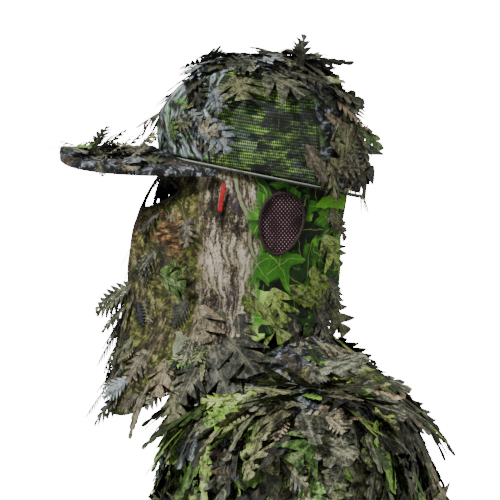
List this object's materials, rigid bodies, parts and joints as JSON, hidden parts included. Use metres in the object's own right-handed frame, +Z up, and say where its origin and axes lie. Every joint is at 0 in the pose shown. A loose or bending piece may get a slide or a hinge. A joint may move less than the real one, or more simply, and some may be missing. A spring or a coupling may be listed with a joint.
{
  "type": "ghillie suit",
  "caption": "Worn woodland ghillie suit: leafy zip jacket with long sleeves and a leafy visor cap with a built-in face mask, eye openings and mesh ear panels.",
  "frame": {"origin": "centre of the neck opening, where the jacket rests on the wearer's neck", "axes": "+Z up, -Y is the way the wearer faces, +X is the wearer's left side"},
  "size_m": [0.8074, 0.3795, 1.0184],
  "materials": {
    "leafy_cloth": "matte",
    "printed_mask_cloth": "matte",
    "printed_mesh": "matte",
    "ear_mesh": "matte",
    "elastic_binding": "matte",
    "tag": "matte",
    "visor_board": "matte",
    "nose_wire": "satin",
    "zip_metal": "satin",
    "zip_tape": "matte"
  },
  "bodies": {
    "jacket": {"back_panel": "leafy_cloth", "collar": "leafy_cloth", "front_panel_left": "leafy_cloth", "front_panel_right": "leafy_cloth", "hem_band": "elastic_binding", "sleeve_cap_left": "leafy_cloth", "sleeve_cap_right": "leafy_cloth", "zip_bottom_stop": "zip_metal", "zip_tape_left": "zip_tape", "zip_tape_right": "zip_tape"},
    "headpiece": {"cap_edge_binding": "elastic_binding", "crown_front_panel": "leafy_cloth", "crown_mesh_left": "printed_mesh", "crown_mesh_right": "printed_mesh", "crown_rear_panel": "leafy_cloth", "crown_top_panel": "leafy_cloth", "ear_binding_left": "elastic_binding", "ear_binding_right": "elastic_binding", "ear_mesh_left": "ear_mesh", "ear_mesh_right": "ear_mesh", "eye_binding_left": "elastic_binding", "eye_binding_right": "elastic_binding", "mask_face_panel": "printed_mask_cloth", "mask_side_left": "printed_mask_cloth", "mask_side_right": "printed_mask_cloth", "nose_wire": "nose_wire", "side_tag": "tag", "sweatband": "elastic_binding"},
    "visor": {"visor_board": "visor_board", "visor_edge_binding": "elastic_binding", "visor_top_cloth": "leafy_cloth", "visor_under_cloth": "leafy_cloth"},
    "zip_slider": {"zip_slider": "zip_metal"},
    "zip_pull": {"zip_pull_tab": "zip_metal"},
    "upper_arm_left": {"upper_sleeve_left": "leafy_cloth", "elbow_section_left": "leafy_cloth"},
    "forearm_left": {"lower_sleeve_left": "leafy_cloth", "cuff_left": "elastic_binding"},
    "upper_arm_right": {"upper_sleeve_right": "leafy_cloth", "elbow_section_right": "leafy_cloth"},
    "forearm_right": {"lower_sleeve_right": "leafy_cloth", "cuff_right": "elastic_binding"}
  },
  "joints": [
    {"name": "headpiece_lift", "type": "slide", "parent": "jacket", "child": "headpiece", "axis": [0, 0, 1], "range_m": [0, 0.3]},
    {"name": "visor_flex", "type": "hinge", "parent": "headpiece", "child": "visor", "pos_m": [0, -0.147, 0.186], "axis": [-1, 0, 0], "range_deg": [-6, 25], "stiffness_Nm_per_rad": 1.5},
    {"name": "zip_slide", "type": "slide", "parent": "jacket", "child": "zip_slider", "axis": [0, 0, -1], "range_m": [0, 0.53]},
    {"name": "zip_pull_swing", "type": "hinge", "parent": "zip_slider", "child": "zip_pull", "pos_m": [0, -0.1389, -0.1373], "axis": [-1, 0, 0], "range_deg": [0, 150]},
    {"name": "shoulder_left", "type": "hinge", "parent": "jacket", "child": "upper_arm_left", "pos_m": [0.196, 0.008, -0.095], "axis": [-1, 0, 0], "range_deg": [-30, 90], "deforming": ["sleeve_cap_left"]},
    {"name": "elbow_left", "type": "hinge", "parent": "upper_arm_left", "child": "forearm_left", "pos_m": [0.27869, 0.008, -0.38338], "axis": [-0.9613, 0, -0.2756], "range_deg": [0, 95], "deforming": ["elbow_section_left"]},
    {"name": "shoulder_right", "type": "hinge", "parent": "jacket", "child": "upper_arm_right", "pos_m": [-0.196, 0.008, -0.095], "axis": [-1, 0, 0], "range_deg": [-30, 90], "deforming": ["sleeve_cap_right"]},
    {"name": "elbow_right", "type": "hinge", "parent": "upper_arm_right", "child": "forearm_right", "pos_m": [-0.27869, 0.008, -0.38338], "axis": [-0.9613, 0, 0.2756], "range_deg": [0, 95], "deforming": ["elbow_section_right"]}
  ]
}
